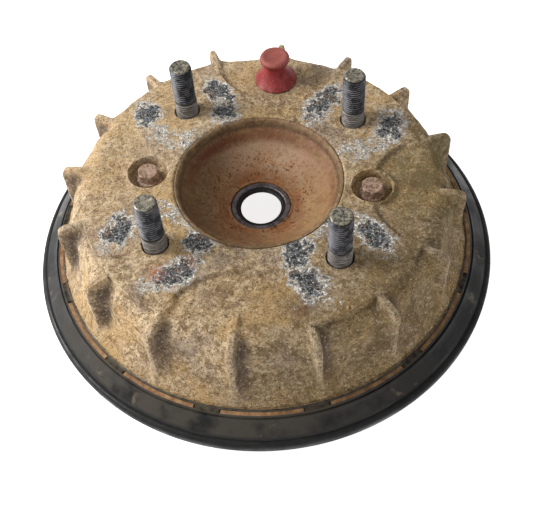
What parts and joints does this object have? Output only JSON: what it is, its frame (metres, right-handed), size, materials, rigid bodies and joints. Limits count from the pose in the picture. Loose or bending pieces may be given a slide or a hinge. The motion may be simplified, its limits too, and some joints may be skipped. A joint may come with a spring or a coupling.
{
  "type": "finned brake drum hub",
  "caption": "Finned aluminium brake drum on a dished steel wheel hub with studs, rubber water seal, inspection plug and a twin leading shoe brake on its backing plate.",
  "frame": {"origin": "on the wheel axis at the knuckle mounting face of the backing plate, the lowest face", "axes": "+Z along the wheel axis towards the wheel studs; +X through a drum bolt, +Y through the inspection plug"},
  "size_m": [0.2144, 0.2144, 0.0877],
  "materials": {
    "drum_casting": "rough sand cast aluminium under dried mud and dust",
    "cast_iron": "turned cast iron, light rust",
    "hub_steel": "forged steel with orange-brown rust",
    "stud_steel": "dull dark grey steel, worn thread crests",
    "rusty_bolt": "rusty steel with dust",
    "seal_steel": "dark blue-grey steel",
    "black_rubber": "matt black rubber",
    "seal_rubber": "dusty charcoal rubber with dried mud",
    "rusty_band": "thin steel with even orange rust",
    "red_rubber": "faded red rubber with pink dust",
    "plate_aluminium": "cast aluminium with dust",
    "cylinder_iron": "cast iron with light rust",
    "zinc_steel": "aged zinc plate",
    "pipe_steel": "dull painted steel pipe",
    "spring_steel": "dark drawn wire",
    "shoe_steel": "worn black paint over steel",
    "friction_lining": "moulded friction material",
    "piston_aluminium": "turned aluminium"
  },
  "bodies": {
    "backing_plate": {"backing_plate": "plate_aluminium", "plate_dust_seal": "black_rubber", "top_wheel_cylinder": "cylinder_iron", "bottom_wheel_cylinder": "cylinder_iron", "cylinder_bolts": "zinc_steel", "bridge_pipe": "pipe_steel", "pipe_nuts": "zinc_steel", "hold_down_pins": "zinc_steel", "hold_down_springs": "spring_steel", "hold_down_cups": "zinc_steel", "top_return_spring": "spring_steel", "bottom_return_spring": "spring_steel", "top_cup_spring": "spring_steel", "bottom_cup_spring": "spring_steel", "top_boot": "black_rubber", "bottom_boot": "black_rubber"},
    "drum": {"brake_drum": "drum_casting", "drum_liner": "cast_iron", "wheel_hub": "hub_steel", "wheel_studs": "stud_steel", "drum_bolts": "rusty_bolt", "hub_seal_case": "seal_steel", "hub_seal_lip": "black_rubber", "drum_seal_ring": "seal_rubber", "seal_band": "rusty_band"},
    "plug": {"inspection_plug": "red_rubber"},
    "right_shoe": {"right_shoe": "shoe_steel", "right_lining": "friction_lining"},
    "left_shoe": {"left_shoe": "shoe_steel", "left_lining": "friction_lining"},
    "top_piston": {"top_piston": "piston_aluminium", "top_piston_cup": "black_rubber"},
    "bottom_piston": {"bottom_piston": "piston_aluminium", "bottom_piston_cup": "black_rubber"},
    "top_adjuster_wheel": {"top_adjuster_wheel": "zinc_steel"},
    "bottom_adjuster_wheel": {"bottom_adjuster_wheel": "zinc_steel"},
    "top_adjuster_screw": {"top_adjuster_screw": "zinc_steel"},
    "bottom_adjuster_screw": {"bottom_adjuster_screw": "zinc_steel"},
    "bleed_screw": {"bleed_screw": "zinc_steel", "bleed_cap": "black_rubber"}
  },
  "joints": [
    {"name": "drum_spin", "type": "hinge", "parent": "backing_plate", "child": "drum", "pos_m": [0, 0, 0.03], "axis": [0, 0, 1], "continuous": true},
    {"name": "plug_pull", "type": "slide", "parent": "drum", "child": "plug", "axis": [0, 0, 1], "range_m": [0, 0.03]},
    {"name": "shoe_spread", "type": "hinge", "parent": "backing_plate", "child": "right_shoe", "pos_m": [0.0247, -0.058, 0.0265], "axis": [0, 0, -1], "range_deg": [0, 0.68], "stiffness_Nm_per_rad": 2},
    {"name": "left_shoe_spread", "type": "hinge", "parent": "backing_plate", "child": "left_shoe", "pos_m": [-0.0247, 0.058, 0.0265], "axis": [0, 0, -1], "range_deg": [0, 0.7]},
    {"name": "top_piston_stroke", "type": "slide", "parent": "backing_plate", "child": "top_piston", "axis": [1, 0, 0], "range_m": [0, 0.0014]},
    {"name": "bottom_piston_stroke", "type": "slide", "parent": "backing_plate", "child": "bottom_piston", "axis": [-1, 0, 0], "range_m": [0, 0.0014]},
    {"name": "top_adjuster_turn", "type": "hinge", "parent": "backing_plate", "child": "top_adjuster_wheel", "pos_m": [-0.019, 0.058, 0.0265], "axis": [1, 0, 0], "range_deg": [0, 360]},
    {"name": "top_screw_travel", "type": "slide", "parent": "backing_plate", "child": "top_adjuster_screw", "axis": [1, 0, 0], "range_m": [0, 0.001]},
    {"name": "bottom_adjuster_turn", "type": "hinge", "parent": "backing_plate", "child": "bottom_adjuster_wheel", "pos_m": [0.019, -0.058, 0.0265], "axis": [-1, 0, 0], "range_deg": [0, 360]},
    {"name": "bottom_screw_travel", "type": "slide", "parent": "backing_plate", "child": "bottom_adjuster_screw", "axis": [-1, 0, 0], "range_m": [0, 0.001]},
    {"name": "bleed_screw_turn", "type": "hinge", "parent": "backing_plate", "child": "bleed_screw", "pos_m": [-0.003, 0.054, 0.008], "axis": [0, 0, 1], "range_deg": [-180, 0]}
  ],
  "couplings": [
    {"joint": "left_shoe_spread", "follows": "shoe_spread", "ratio": 1},
    {"joint": "top_piston_stroke", "follows": "shoe_spread", "m_per_rad": 0.116},
    {"joint": "bottom_piston_stroke", "follows": "shoe_spread", "m_per_rad": 0.116},
    {"joint": "top_screw_travel", "follows": "top_adjuster_turn", "m_per_rad": 0.00015915},
    {"joint": "bottom_screw_travel", "follows": "bottom_adjuster_turn", "m_per_rad": 0.00015915}
  ]
}
